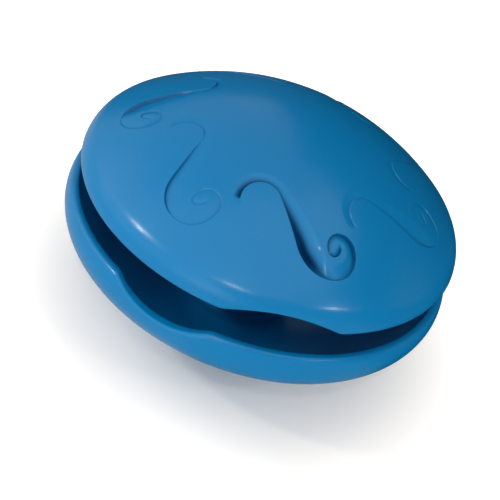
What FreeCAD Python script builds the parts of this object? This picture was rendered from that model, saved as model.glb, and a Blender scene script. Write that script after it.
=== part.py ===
import FreeCAD, Part
import math
import os
import Sketcher

# Twist-to-adjust cat treat dispenser: two domed halves on a coarse central screw.
# Turning the upper half raises or lowers it on the stem. That sets the gap between
# the rims and, with the scallops in both rims, how easily treats fall out.
# Frame: +Z is the screw's axis and points up, and z = 0 is the flat foot of the
# lower half. The halves stand half open, their scallops 31 degrees apart.

# Driving dimensions in millimetres and degrees: name, value, what it is
SIZES = [
    ("upper_radius", 44.5, "radius of the upper rim"),
    ("upper_rise", 20.0, "height of the upper half from its rim to its crown"),
    ("upper_shoulder", 6.9, "radius of the turn from the upper crown to the rim"),
    ("lower_radius", 45.9, "radius of the lower half at its belt, the widest place"),
    ("lower_drop", 23.9, "depth of the lower half below its belt, before its foot is cut flat"),
    ("lower_shoulder", 7.6, "radius of the turn from the belt to the lower crown"),
    ("lip_rise", 3.6, "height of the lower rim above the belt"),
    ("foot_radius", 15.0, "radius of the flat foot"),
    ("wall", 2.5, "wall of both shells"),
    ("rim_round", 1.0, "rounding of the rims' edges"),
    ("socket_round", 1.5, "rounding at the roots of the sockets"),
    ("open_gap", 6.3, "gap between the rims as modelled"),
    ("shut_gap", 0.3, "gap between the rims when the halves are screwed shut"),
    ("scallop_count", 3, "scallops in each rim"),
    ("scallop_width", 24.2, "width of an upper scallop at the rim"),
    ("scallop_rise", 2.7, "height of an upper scallop"),
    ("dip_width", 22.0, "width of a lower scallop at the rim"),
    ("dip_depth", 2.8, "depth of a lower scallop"),
    ("corner_round", 2.0, "rounding where a scallop meets its rim"),
    ("upper_turn", -75.6, "direction of the first upper scallop about the axis"),
    ("lower_turn", -106.2, "direction of the first lower scallop about the axis"),
    ("scroll_count", 7, "sunken scrolls on the upper dome"),
    ("scroll_turn", -60.0, "direction of the first scroll about the axis"),
    ("scroll_inset", 12.8, "from the rim in to where a scroll's bend begins"),
    ("scroll_shift", 9.0, "how far the bend begins behind the scroll's direction"),
    ("scroll_lean", 10.2, "angle of a scroll's long stroke to its direction"),
    ("scroll_bend", 7.4, "outer radius of a scroll's bend, which its eye follows in proportion"),
    ("scroll_run", 10.3, "length of the long stroke between the bend and the hook"),
    ("scroll_hook", 4.2, "inner radius of the hook"),
    ("scroll_fine", 1.5, "width of the stroke along the hook"),
    ("scroll_depth", 0.8, "depth of the scrolls"),
    ("lead", 6.0, "rise of the screw in one turn"),
    ("core_radius", 7.6, "radius of the stem between the turns of its thread"),
    ("ridge_height", 2.2, "height of the thread above the core"),
    ("ridge_foot", 3.6, "width of the thread where it leaves the core"),
    ("ridge_crest", 1.8, "width of the thread at its crest"),
    ("ridge_play", 0.35, "play between the two threads, square to the axis"),
    ("flank_play", 0.3, "play between the two threads, along the axis"),
    ("bush_wall", 2.4, "wall of the bush outside its thread"),
    ("flange_reach", 2.0, "how far the flanges of the stem and the bush stand out"),
    ("flange_height", 2.0, "thickness of those flanges"),
    ("socket_wall", 2.6, "wall of the sockets that hold the stem and the bush"),
    ("post_height", 10.3, "height of the stem's socket above the shell's floor"),
    ("bush_reach", 6.4, "how far the bush stands out of its socket"),
    ("cap_height", 4.6, "solid height between the bush and the crown"),
    ("end_play", 0.8, "free height that is left at both ends of the screw when shut"),
    ("lead_in", 2.2, "height of the cone at the top of the stem"),
    ("ring_height", 2.4, "height of the grip ring in the bush's mouth"),
    ("ring_width", 1.2, "width of the grip ring"),
    ("ring_play", 0.08, "running play of the grip ring"),
]

# Dimensions that follow from the driving ones: name, formula
LEVELS = [
    ("upper_crown", "((Sizes.upper_radius - Sizes.upper_shoulder)^2 + Sizes.upper_rise^2"
                    " - Sizes.upper_shoulder^2) / (2 * (Sizes.upper_rise - Sizes.upper_shoulder))"),
    ("lower_crown", "((Sizes.lower_radius - Sizes.lower_shoulder)^2 + Sizes.lower_drop^2"
                    " - Sizes.lower_shoulder^2) / (2 * (Sizes.lower_drop - Sizes.lower_shoulder))"),
    ("foot_cut", "lower_crown - sqrt(lower_crown^2 - Sizes.foot_radius^2)"),
    ("belt_level", "Sizes.lower_drop - foot_cut"),
    ("lower_rim_level", "belt_level + Sizes.lip_rise"),
    ("upper_rim_level", "lower_rim_level + Sizes.open_gap"),
    ("crown_level", "upper_rim_level + Sizes.upper_rise"),
    ("lowering", "Sizes.open_gap - Sizes.shut_gap"),
    ("post_level", "Sizes.wall + Sizes.post_height"),
    ("bush_level", "post_level + lowering + Sizes.end_play"),
    ("bush_top", "crown_level - Sizes.cap_height"),
    ("stem_top", "bush_top - lowering - Sizes.end_play"),
    ("ridge_start", "post_level + Sizes.ridge_foot"),
    ("crest_radius", "Sizes.core_radius + Sizes.ridge_height"),
    ("bore_radius", "Sizes.core_radius + Sizes.ridge_play"),
    ("groove_radius", "crest_radius + Sizes.ridge_play"),
    ("bush_radius", "groove_radius + Sizes.bush_wall"),
    ("bush_flange", "bush_radius + Sizes.flange_reach"),
    ("bush_socket", "bush_flange + Sizes.socket_wall"),
    ("stem_flange", "Sizes.core_radius + Sizes.flange_reach"),
    ("stem_socket", "stem_flange + Sizes.socket_wall"),
    ("ring_bore", "crest_radius + Sizes.ring_play"),
    ("ring_radius", "ring_bore + Sizes.ring_width"),
    ("ring_seat", "ring_radius + Sizes.ring_play"),
]

# Proportions of a scroll to its bend: the radii of the quarter turns along its outer and
# its inner edge, from the bend to the middle of the eye, and its width where the bend begins
OUTER_TURNS = (1.0, 0.65, 0.445, 0.385, 0.175, 0.27)
INNER_TURNS = (0.65, 0.27, 0.31, 0.155, 0.12, 0.075)
BROAD = 0.515

# Where the hook ends, in proportion to its radius: past its turn and below it
TIP = (0.62, 0.86)

ORIGIN = FreeCAD.Vector(0, 0, 0)
UP = FreeCAD.Vector(0, 0, 1)
EDGE_SLACK = 0.01


def write_sheet(doc, label, rows):
    """Fill a spreadsheet with one named value or formula per row."""
    sheet = doc.addObject("Spreadsheet::Sheet", label)
    for row, (name, content, *note) in enumerate(rows, start=1):
        sheet.set(f"A{row}", name)
        sheet.set(f"B{row}", content if isinstance(content, str) else f"{content}")
        sheet.set(f"C{row}", "".join(note))
        sheet.setAlias(f"B{row}", name)
    doc.recompute()
    return sheet


def number(owner, formula):
    """The value of a formula over the sheets, as a plain number."""
    result = owner.evalExpression(formula)
    return float(getattr(result, "Value", result))


def origin_part(body, role):
    """A plane or an axis of the body's own origin, by its role."""
    return next(f for f in body.Origin.OriginFeatures if f.Role == role)


def hold(sketch, kind, places, formula, name):
    """Add a dimension to the sketch and bind it to the sheets."""
    index = sketch.addConstraint(Sketcher.Constraint(kind, *places, number(sketch, formula)))
    sketch.renameConstraint(index, name)
    sketch.setExpression(f"Constraints.{name}", formula)


def outline(body, label, plane, corners, arcs=None, place=None):
    """Draw a closed outline in the body.

    corners are pairs of formulas. arcs maps a corner's number to the radius of the arc
    that leaves it, with a minus sign before the formula where the arc turns clockwise.
    place maps parts of the sketch's offset from its plane to their formulas.
    """
    sketch = body.newObject("Sketcher::SketchObject", label)
    sketch.AttachmentSupport = [(origin_part(body, plane), "")]
    sketch.MapMode = "FlatFace"
    sketch.AttachmentOffset = FreeCAD.Placement(ORIGIN, FreeCAD.Rotation(UP, 0))
    for part, formula in (place or {}).items():
        sketch.setExpression(f"AttachmentOffset.{part}", formula)
    arcs = arcs or {}
    points = [FreeCAD.Vector(number(sketch, x), number(sketch, y), 0) for x, y in corners]
    ends = []
    for k, start in enumerate(points):
        finish = points[(k + 1) % len(points)]
        if k in arcs:
            clockwise = arcs[k].startswith("-")
            radius = number(sketch, arcs[k].lstrip("-"))
            geometry, reverse = arc_between(start, finish, radius, clockwise)
        else:
            geometry, reverse = Part.LineSegment(start, finish), False
        index = sketch.addGeometry(geometry)
        ends.append(((index, 2), (index, 1)) if reverse else ((index, 1), (index, 2)))
    for k, (x, y) in enumerate(corners):
        here = ends[k][0]
        sketch.addConstraint(Sketcher.Constraint("Coincident", *ends[k - 1][1], *here))
        for kind, axis, formula in (("DistanceX", -2, x), ("DistanceY", -1, y)):
            if formula == "0":
                sketch.addConstraint(Sketcher.Constraint("PointOnObject", *here, axis))
            else:
                hold(sketch, kind, (-1, 1, *here), formula, f"{kind[-1].lower()}_of_corner_{k}")
        if k in arcs:
            hold(sketch, "Radius", (here[0],), arcs[k].lstrip("-"), f"arc_{k}")
    return sketch


def arc_between(start, finish, radius, clockwise):
    """An arc of less than a half turn, and whether it runs from finish to start."""
    chord = finish - start
    sagging = math.sqrt(radius**2 - (chord.Length / 2) ** 2)
    left = FreeCAD.Vector(-chord.y, chord.x, 0).normalize()
    centre = start + chord * 0.5 + left * (-sagging if clockwise else sagging)
    first, last = (finish, start) if clockwise else (start, finish)
    angles = [math.atan2(p.y - centre.y, p.x - centre.x) for p in (first, last)]
    return Part.ArcOfCircle(Part.Circle(centre, UP, radius), *angles), clockwise


def new_body(doc, label, turn=None):
    """A body named after its piece, turned about the axis where a formula says so."""
    body = doc.addObject("PartDesign::Body", label)
    body.Label = label
    body.Placement = FreeCAD.Placement(ORIGIN, FreeCAD.Rotation(UP, 0))
    if turn:
        body.setExpression("Placement.Rotation.Angle", turn)
    return body


def revolve(body, label, sketch, kind="PartDesign::Revolution"):
    """Turn an outline all the way round the axis."""
    feature = body.newObject(kind, label)
    feature.Profile = sketch
    feature.ReferenceAxis = (origin_part(body, "Z_Axis"), [""])
    feature.Angle = 360
    body.Document.recompute()
    return feature


def round_edges(body, label, radius, chosen):
    """Round the edges of the body's tip that chosen accepts."""
    tip = body.Tip
    names = [f"Edge{k}" for k, edge in enumerate(tip.Shape.Edges, start=1) if chosen(edge)]
    fillet = body.newObject("PartDesign::Fillet", label)
    fillet.Base = (tip, names)
    fillet.setExpression("Radius", radius)
    body.Document.recompute()
    return fillet


def on_rim(lowest, highest, wall):
    """A test for the edges that run along a rim, not across its wall."""
    def test(edge):
        across = [math.hypot(v.X, v.Y) for v in edge.Vertexes]
        levels = (edge.BoundBox.ZMin, edge.BoundBox.ZMax)
        beside = lowest - EDGE_SLACK < levels[0] and levels[1] < highest + EDGE_SLACK
        return beside and max(across) - min(across) < wall / 2
    return test


def scallop(body, label, level, width, height, upwards, start):
    """Cut round scallops into a rim at level, spread evenly about the axis.

    The scallop is an arc whose ends flow into the rim through rounded corners. It is
    cut outwards from the distance start, so that it clears the socket in the middle.
    """
    way = 1 if upwards else -1
    arch = f"(({width} / 2)^2 + {height}^2) / (2 * {height})"
    corner = "Sizes.corner_round"
    reach = f"sqrt(({arch} + {corner})^2 - ({arch} - {height} + {corner})^2)"
    meet_x = f"{arch} * {reach} / ({arch} + {corner})"
    meet_y = f"({height} - {arch} + {arch} * ({arch} - {height} + {corner}) / ({arch} + {corner}))"
    rim, join, beyond = level, f"{level} + {way} * {meet_y}", f"{level} - {way} * {height}"
    corners = [
        (reach, rim), (meet_x, join), (f"-({meet_x})", join),
        (f"-({reach})", rim), (f"-({reach})", beyond), (reach, beyond),
    ]
    bend, bow = ("-", "") if upwards else ("", "-")
    arcs = {0: bend + corner, 1: bow + arch, 2: bend + corner}
    sketch = outline(body, f"{label}_outline", "YZ_Plane", corners, arcs, {"Base.z": start})
    cut = body.newObject("PartDesign::Pocket", label)
    cut.Profile = sketch
    cut.setExpression("Length", "Sizes.lower_radius")
    cut.Reversed = True
    body.Document.recompute()
    spread(body, f"{label}s", cut, "Sizes.scallop_count")


def spread(body, label, feature, count):
    """Repeat a feature evenly about the axis."""
    pattern = body.newObject("PartDesign::PolarPattern", label)
    pattern.Originals = [feature]
    pattern.Axis = (origin_part(body, "Z_Axis"), [""])
    pattern.Angle = 360
    pattern.setExpression("Occurrences", count)
    body.Tip = pattern
    body.Document.recompute()


def quarter_turns(rise, turns):
    """Corners of a chain of quarter turns to the left, each flowing into the next.

    The chain starts towards +x at the height rise. Heights and radii are proportions
    of the scroll's bend.
    """
    across, up = 0, rise
    chain = []
    for k, turn in enumerate(turns):
        across += turn if k % 4 in (0, 3) else -turn
        up += turn if k % 4 in (0, 1) else -turn
        chain.append((f"{across:.3f} * Sizes.scroll_bend", f"{up:.3f} * Sizes.scroll_bend"))
    return chain


def scroll_outline(body):
    """Draw one scroll: a pointed hook, a stroke that broadens, a bend and a closing eye."""
    bend, run, hook, fine = (f"Sizes.scroll_{name}" for name in ("bend", "run", "hook", "fine"))
    past, below = (f"({share} * {hook})" for share in TIP)
    wider = f"({BROAD} * {bend} - {fine})"
    sway = f"(({run} / 2)^2 + ({wider} / 2)^2) / {wider}"
    outer, inner = quarter_turns(0, OUTER_TURNS), quarter_turns(BROAD, INNER_TURNS)
    corners = [
        (f"-{run} - {hook} + {past}", f"-{hook} - {below}"),
        (f"-{run} - {hook}", f"-{hook}"), (f"-{run}", "0"), ("0", "0"), *outer,
        *inner[::-1], ("0", f"{BROAD} * {bend}"),
        (f"-{run} / 2", f"({BROAD} * {bend} + {fine}) / 2"), (f"-{run}", fine),
        (f"-{run} - {hook} - {fine}", f"-{hook}"),
    ]
    eye = 3 + len(outer)
    arcs = {0: f"-({past}^2 + {below}^2) / (2 * {past})", 1: f"-{hook}"}
    arcs |= {3 + k: f"{turn} * {bend}" for k, turn in enumerate(OUTER_TURNS)}
    arcs |= {eye + 1 + k: f"-{turn} * {bend}" for k, turn in enumerate(INNER_TURNS[::-1])}
    back = eye + 1 + len(inner)
    arcs |= {
        back: sway, back + 1: f"-{sway}", back + 2: f"({hook} + {fine})",
        back + 3: f"(({past} + {fine})^2 + {below}^2) / (2 * ({past} + {fine}))",
    }
    return outline(body, "scroll_outline", "XY_Plane", corners, arcs, {
        "Base.x": "Sizes.upper_radius - Sizes.scroll_inset", "Base.y": "-Sizes.scroll_shift",
        "Base.z": "Levels.upper_rim_level", "Rotation.Angle": "Sizes.scroll_lean",
    })


def make_scroll_cutters(doc):
    """What the scrolls take out of the upper dome, down to an even depth below its crown.

    The cutters stand in the dome's own frame, so their turn is counted from the dome's.
    """
    body = new_body(doc, "scroll_cutters", "Sizes.scroll_turn - Sizes.upper_turn")
    stroke = body.newObject("PartDesign::Pad", "scroll")
    stroke.Profile = scroll_outline(body)
    stroke.setExpression("Length", "2 * Sizes.upper_rise")
    doc.recompute()
    spread(body, "scrolls", stroke, "Sizes.scroll_count")
    floor = "(Levels.upper_crown - Sizes.scroll_depth)"
    centre = "(Levels.crown_level - Levels.upper_crown)"
    below = "Levels.upper_rim_level - Sizes.wall"
    edge = f"{centre} + sqrt({floor}^2 - Sizes.upper_radius^2)"
    corners = [("0", below), ("Sizes.upper_radius", below), ("Sizes.upper_radius", edge),
               ("0", f"{centre} + {floor}")]
    section = outline(body, "floor_section", "XZ_Plane", corners, {2: floor})
    revolve(body, "floor", section, "PartDesign::Groove")
    return body


def thread(body, label, kind, profile, height):
    """Carry a thread's profile up the screw's helix."""
    helix = body.newObject(kind, label)
    helix.Profile = profile
    helix.ReferenceAxis = (origin_part(body, "Z_Axis"), [""])
    helix.Mode = "pitch-height-angle"
    helix.setExpression("Pitch", "Sizes.lead")
    helix.setExpression("Height", height)
    helix.LeftHanded = False
    body.Document.recompute()
    return helix


def make_upper_shell(doc):
    """The upper dome with its scalloped rim, its scrolls and the socket that holds the bush."""
    body = new_body(doc, "upper_shell", "Sizes.upper_turn")
    centre = "(Levels.crown_level - Levels.upper_crown)"
    inner_crown = "(Levels.upper_crown - Sizes.wall)"
    inner_shoulder = "(Sizes.upper_shoulder - Sizes.wall)"
    span = "(Levels.upper_crown - Sizes.upper_shoulder)"
    lean_x = f"((Sizes.upper_radius - Sizes.upper_shoulder) / {span})"
    lean_y = f"((Levels.upper_crown - Sizes.upper_rise) / {span})"
    nest_x = "(Levels.bush_socket + Sizes.socket_round)"
    nest_y = f"sqrt(({inner_crown} - Sizes.socket_round)^2 - {nest_x}^2)"
    grown = f"{inner_crown} / ({inner_crown} - Sizes.socket_round)"
    mouth = "Levels.bush_level + Sizes.bush_reach"
    flange = "Levels.bush_top - Sizes.flange_height"
    rim = "Levels.upper_rim_level"
    corners = [
        ("0", "Levels.crown_level"),
        (f"Levels.upper_crown * {lean_x}", f"{centre} + Levels.upper_crown * {lean_y}"),
        ("Sizes.upper_radius", rim),
        ("Sizes.upper_radius - Sizes.wall", rim),
        (f"{inner_crown} * {lean_x}", f"{centre} + {inner_crown} * {lean_y}"),
        (f"{nest_x} * {grown}", f"{centre} + {nest_y} * {grown}"),
        ("Levels.bush_socket", f"{centre} + {nest_y}"),
        ("Levels.bush_socket", mouth),
        ("Levels.bush_radius", mouth),
        ("Levels.bush_radius", flange),
        ("Levels.bush_flange", flange),
        ("Levels.bush_flange", "Levels.bush_top"),
        ("0", "Levels.bush_top"),
    ]
    arcs = {0: "-Levels.upper_crown", 1: "-Sizes.upper_shoulder", 3: inner_shoulder,
            4: inner_crown, 5: "Sizes.socket_round"}
    revolve(body, "dome", outline(body, "dome_section", "XZ_Plane", corners, arcs))
    start = "(Levels.bush_socket + Sizes.upper_radius - Sizes.wall) / 2"
    scallop(body, "scallop", rim, "Sizes.scallop_width", "Sizes.scallop_rise", True, start)
    low = number(body, rim)
    high = number(body, f"{rim} + Sizes.scallop_rise")
    wall = number(body, "Sizes.wall")
    round_edges(body, "rim_rounding", "min(Sizes.rim_round; 0.45 * Sizes.wall)",
                on_rim(low, high, wall))
    cut = body.newObject("PartDesign::Boolean", "scroll_cut")
    cut.Type = "Cut"
    cut.setObjects([make_scroll_cutters(doc)])
    doc.recompute()
    return body


def make_lower_shell(doc):
    """The lower bowl with its scalloped rim, its foot and the socket that holds the stem."""
    body = new_body(doc, "lower_shell", "Sizes.lower_turn")
    centre = "(Levels.lower_crown - Levels.foot_cut)"
    inner_crown = "(Levels.lower_crown - Sizes.wall)"
    inner_shoulder = "(Sizes.lower_shoulder - Sizes.wall)"
    shoulder_x = "(Sizes.lower_radius - Sizes.lower_shoulder)"
    span = "(Levels.lower_crown - Sizes.lower_shoulder)"
    lean_x = f"({shoulder_x} / {span})"
    lean_y = f"((Levels.lower_crown - Sizes.lower_drop) / {span})"
    nest_x = "(Levels.stem_socket + Sizes.socket_round)"
    nest_y = f"sqrt(({inner_crown} - Sizes.socket_round)^2 - {nest_x}^2)"
    grown = f"{inner_crown} / ({inner_crown} - Sizes.socket_round)"
    flange = "Sizes.wall + Sizes.flange_height"
    rim = "Levels.lower_rim_level"
    lip_x = f"({shoulder_x} + sqrt(Sizes.lower_shoulder^2 - Sizes.lip_rise^2))"
    corners = [
        ("0", "0"),
        ("Sizes.foot_radius", "0"),
        (f"Levels.lower_crown * {lean_x}", f"{centre} - Levels.lower_crown * {lean_y}"),
        (lip_x, rim),
        (f"{lip_x} - Sizes.wall", rim),
        ("Sizes.lower_radius - Sizes.wall", "Levels.belt_level"),
        (f"{inner_crown} * {lean_x}", f"{centre} - {inner_crown} * {lean_y}"),
        (f"{nest_x} * {grown}", f"{centre} - {nest_y} * {grown}"),
        ("Levels.stem_socket", f"{centre} - {nest_y}"),
        ("Levels.stem_socket", "Levels.post_level"),
        ("Sizes.core_radius", "Levels.post_level"),
        ("Sizes.core_radius", flange),
        ("Levels.stem_flange", flange),
        ("Levels.stem_flange", "Sizes.wall"),
        ("0", "Sizes.wall"),
    ]
    arcs = {1: "Levels.lower_crown", 2: "Sizes.lower_shoulder", 4: "-Sizes.lower_shoulder",
            5: "-" + inner_shoulder, 6: "-" + inner_crown, 7: "-Sizes.socket_round"}
    revolve(body, "bowl", outline(body, "bowl_section", "XZ_Plane", corners, arcs))
    start = "(Levels.stem_socket + Sizes.lower_radius - Sizes.wall) / 2"
    scallop(body, "dip", rim, "Sizes.dip_width", "Sizes.dip_depth", False, start)
    low = number(body, f"{rim} - Sizes.dip_depth")
    high = number(body, rim)
    wall = number(body, "Sizes.wall")
    round_edges(body, "rim_rounding", "min(Sizes.rim_round; 0.45 * Sizes.wall)",
                on_rim(low, high, wall))
    return body


def make_stem(doc):
    """The coarse screw that stands in the lower half, its flange moulded into the socket."""
    body = new_body(doc, "thread_stem")
    core, foot, top = "Sizes.core_radius", "Sizes.wall", "Levels.stem_top"
    flange = "Sizes.wall + Sizes.flange_height"
    corners = [
        ("0", foot), ("Levels.stem_flange", foot), ("Levels.stem_flange", flange),
        (core, flange), (core, top), ("0", top),
    ]
    revolve(body, "core", outline(body, "core_section", "XZ_Plane", corners))
    start = "Levels.ridge_start"
    half_foot = "Sizes.ridge_foot / 2"
    half_crest = "Sizes.ridge_crest / 2"
    inside = "Sizes.core_radius - Sizes.ridge_play"
    ridge = [
        (inside, f"{start} - {half_foot}"), (core, f"{start} - {half_foot}"),
        ("Levels.crest_radius", f"{start} - {half_crest}"),
        ("Levels.crest_radius", f"{start} + {half_crest}"),
        (core, f"{start} + {half_foot}"), (inside, f"{start} + {half_foot}"),
    ]
    profile = outline(body, "ridge_profile", "XZ_Plane", ridge)
    thread(body, "ridge", "PartDesign::AdditiveHelix", profile, f"{top} + Sizes.lead - {start}")
    above = f"{top} + 2 * Sizes.lead"
    beyond = "Levels.crest_radius + Sizes.lead_in"
    cone = [
        ("0", top), ("Sizes.core_radius - Sizes.ridge_play", top),
        ("Levels.crest_radius", f"{top} - Sizes.lead_in"), (beyond, f"{top} - Sizes.lead_in"),
        (beyond, above), ("0", above),
    ]
    revolve(body, "lead_in", outline(body, "lead_in_section", "XZ_Plane", cone),
            "PartDesign::Groove")
    return body


def make_bush(doc):
    """The threaded bush in the upper half, its flange moulded into the socket."""
    body = new_body(doc, "thread_bush")
    seat = "Levels.bush_level + Sizes.ring_height + Sizes.ring_play"
    flange = "Levels.bush_top - Sizes.flange_height"
    bore = "Levels.bore_radius"
    corners = [
        ("Levels.ring_seat", "Levels.bush_level"), ("Levels.bush_radius", "Levels.bush_level"),
        ("Levels.bush_radius", flange), ("Levels.bush_flange", flange),
        ("Levels.bush_flange", "Levels.bush_top"), (bore, "Levels.bush_top"),
        (bore, seat), ("Levels.ring_seat", seat),
    ]
    revolve(body, "sleeve", outline(body, "sleeve_section", "XZ_Plane", corners))
    half_foot = "(Sizes.ridge_foot / 2 + Sizes.flank_play)"
    half_crest = "(Sizes.ridge_crest / 2 + Sizes.flank_play)"
    turns = f"ceil((Levels.ridge_start + {half_foot} - Levels.bush_level) / Sizes.lead)"
    start = f"(Levels.ridge_start - Sizes.lead * {turns})"
    groove = [
        ("Sizes.core_radius", f"{start} - {half_foot}"),
        ("Levels.groove_radius", f"{start} - {half_crest}"),
        ("Levels.groove_radius", f"{start} + {half_crest}"),
        ("Sizes.core_radius", f"{start} + {half_foot}"),
    ]
    profile = outline(body, "groove_profile", "XZ_Plane", groove)
    thread(body, "groove", "PartDesign::SubtractiveHelix", profile,
           f"Levels.bush_top + Sizes.ridge_foot - {start}")
    return body


def make_ring(doc):
    """The soft ring in the bush's mouth that grips the thread and holds the setting."""
    body = new_body(doc, "grip_ring")
    low = "Levels.bush_level"
    high = "Levels.bush_level + Sizes.ring_height"
    corners = [("Levels.ring_bore", low), ("Levels.ring_radius", low),
               ("Levels.ring_radius", high), ("Levels.ring_bore", high)]
    revolve(body, "ring", outline(body, "ring_section", "XZ_Plane", corners))
    return body


def check(doc, pieces):
    """Stop if any object failed or a piece isn't one valid solid."""
    for thing in doc.Objects:
        if {"Invalid", "Error"} & set(thing.State):
            raise RuntimeError(f"{thing.Label} is {thing.State}")
    for piece in pieces:
        if piece.Shape.isNull() or not piece.Shape.isValid() or len(piece.Shape.Solids) != 1:
            raise RuntimeError(f"{piece.Label} isn't one valid solid")


def main():
    """Build the document, check it and write one file per piece."""
    doc = FreeCAD.newDocument("treat_dispenser")
    write_sheet(doc, "Sizes", SIZES)
    write_sheet(doc, "Levels", [(name, "=" + formula) for name, formula in LEVELS])
    pieces = [make(doc) for make in
              (make_upper_shell, make_lower_shell, make_stem, make_bush, make_ring)]
    doc.recompute()
    check(doc, pieces)
    os.makedirs("parts", exist_ok=True)
    for piece in pieces:
        piece.Shape.exportStep(f"parts/{piece.Label}.step")
        print(f"{piece.Label}: {piece.Shape.Volume:.0f} mm3")


main()
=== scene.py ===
"""A twist-to-adjust treat dispenser: two domed halves of blue plastic on a coarse screw.

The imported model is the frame. Both shells are rebuilt here as fine surfaces in the same
place, the upper one with its seven sunken scrolls, and the screw keeps the form of its
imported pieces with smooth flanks. Sizes are in millimetres until a mesh is made, and
angles that a class holds are in degrees where it doesn't say radians.
"""

import logging
import math
from collections.abc import Callable
from dataclasses import dataclass
from enum import Enum
from typing import NamedTuple

import bmesh
import bpy
import numpy as np
from mathutils import Matrix, Vector
from mathutils.geometry import delaunay_2d_cdt


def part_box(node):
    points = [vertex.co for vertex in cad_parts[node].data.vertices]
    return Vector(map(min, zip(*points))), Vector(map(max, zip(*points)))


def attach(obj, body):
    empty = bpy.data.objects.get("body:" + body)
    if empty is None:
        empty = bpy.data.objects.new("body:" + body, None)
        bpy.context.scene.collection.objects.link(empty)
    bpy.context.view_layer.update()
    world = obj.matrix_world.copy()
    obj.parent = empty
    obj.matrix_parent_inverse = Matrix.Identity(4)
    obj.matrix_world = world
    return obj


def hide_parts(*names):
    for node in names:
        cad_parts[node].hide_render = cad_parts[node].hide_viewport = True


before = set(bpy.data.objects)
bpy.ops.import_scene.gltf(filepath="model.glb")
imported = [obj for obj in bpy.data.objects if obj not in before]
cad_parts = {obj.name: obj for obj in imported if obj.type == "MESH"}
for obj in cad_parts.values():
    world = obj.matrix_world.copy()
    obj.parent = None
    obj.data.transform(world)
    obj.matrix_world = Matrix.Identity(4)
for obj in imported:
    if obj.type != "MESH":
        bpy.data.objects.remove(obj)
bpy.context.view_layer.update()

Array = np.ndarray
Section = tuple[Array, Array]
MM = 0.001
# Point attribute of the shade painted into the scrolls' grooves
PAINTED_GROOVE_SHADE = "painted_groove_shade"
TONE = "tone"

# Side in pixels of the square picture that the camera was fitted to
IMAGE_SIDE = 500

# Numbers of the sockets of a Mix node that mixes colours
MIX_SHARE, MIX_FIRST, MIX_SECOND, MIX_COLOUR = 0, 6, 7, 2

# Where most values of the grain's noise and of the clouds' noise lie
GRAIN_SPAN = (0.3, 0.7)
CLOUD_SPAN = (0.35, 0.65)

# Points in a corner's rounding, and how far apart two rows of a section are at least
BEND_POINTS = 8
ROW_GAP = 1e-6

# Triangulation: keep what lies within an outline, and join points this near
CDT_INSIDE = 1
CDT_MERGE = 1e-7

log = logging.getLogger("treat_dispenser")


class Body(Enum):
    """The bodies of the frame."""

    LOWER = "lower_half"
    LIFT = "lift_carrier"
    UPPER = "upper_half"


class Slot(Enum):
    """The material slots of the record."""

    SHELL = "shell"
    SCREW = "screw"
    GRIP = "grip"


def linear(hex_colour: str) -> tuple[float, float, float, float]:
    """Turn an sRGB hex colour such as "#2E7FBE" into linear red, green, blue and 1."""
    parts = [int(hex_colour[k:k + 2], 16) / 255 for k in (1, 3, 5)]
    parts = [p / 12.92 if p <= 0.04045 else ((p + 0.055) / 1.055) ** 2.4 for p in parts]
    return (*parts, 1.0)


WHITE = linear("#FFFFFF")


def add_node(tree: bpy.types.NodeTree, kind: str, inputs: dict | None = None,
             **settings: object) -> bpy.types.Node:
    """Add a node with its settings, its values and its links.

    Args:
        tree: the node tree that gets it.
        kind: the node's type, such as "ShaderNodeBump".
        inputs: a value, or an output socket to link from, by the input's name or number.
        settings: the node's own properties by name.

    Returns:
        The new node.
    """
    node = tree.nodes.new(kind)
    for name, value in settings.items():
        setattr(node, name, value)
    for name, value in (inputs or {}).items():
        if isinstance(value, bpy.types.NodeSocket):
            tree.links.new(value, node.inputs[name])
        else:
            node.inputs[name].default_value = value
    return node


def bare_tree(block: bpy.types.Material | bpy.types.World) -> bpy.types.NodeTree:
    """Turn on the nodes of a new material or world and empty their tree."""
    block.use_nodes = True
    block.node_tree.nodes.clear()
    return block.node_tree


def link_object(name: str, data: bpy.types.ID) -> bpy.types.Object:
    """Make an object of a mesh, a lamp or a camera in the scene."""
    made = bpy.data.objects.new(name, data)
    bpy.context.scene.collection.objects.link(made)
    return made


def smooth_ramp(x: Array) -> Array:
    """Rise from 0 to 1 with level ends: 3 x squared less 2 x cubed, x held to 0 to 1."""
    x = np.clip(x, 0.0, 1.0)
    return x * x * (3.0 - 2.0 * x)


def arc_points(centre: tuple[float, float], radius: float, start: float, stop: float,
               count: int) -> Section:
    """Points on an arc of a section, evenly spaced in angle.

    The angle is counted from the screw's axis: each point lies at the centre plus the
    radius times (sine, cosine) of the angle, as distance from the axis and height.

    Args:
        centre: distance from the axis and height of the arc's centre.
        radius: the arc's radius.
        start: first angle in radians.
        stop: last angle in radians.
        count: how many points.

    Returns:
        Distances from the axis and heights.
    """
    angle = np.linspace(start, stop, count)
    return centre[0] + radius * np.sin(angle), centre[1] + radius * np.cos(angle)


def lathe_faces(rows: int, columns: int) -> Array:
    """Quads of a grid that closes on itself across its columns, seen from outside.

    Args:
        rows: how many rows the grid has, running down the outside.
        columns: how many columns, running to the left about the axis.

    Returns:
        Vertex numbers, four to a row.
    """
    row, column = np.meshgrid(np.arange(rows - 1), np.arange(columns), indexing="ij")
    beside = (column + 1) % columns
    corners = [row * columns + column, (row + 1) * columns + column,
               (row + 1) * columns + beside, row * columns + beside]
    return np.stack(corners, axis=-1).reshape(-1, 4)


def fan_faces(ring: Array, pole: int, outwards: bool) -> Array:
    """Triangles between a ring of vertices and a pole.

    Args:
        ring: vertex numbers around the ring, to the left about the axis.
        pole: number of the pole's vertex.
        outwards: True where the surface starts at the pole, False where it ends there.

    Returns:
        Vertex numbers, three to a row.
    """
    beside = np.roll(ring, -1)
    middle = np.full_like(ring, pole)
    order = (middle, ring, beside) if outwards else (ring, middle, beside)
    return np.stack(order, axis=-1)


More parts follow.
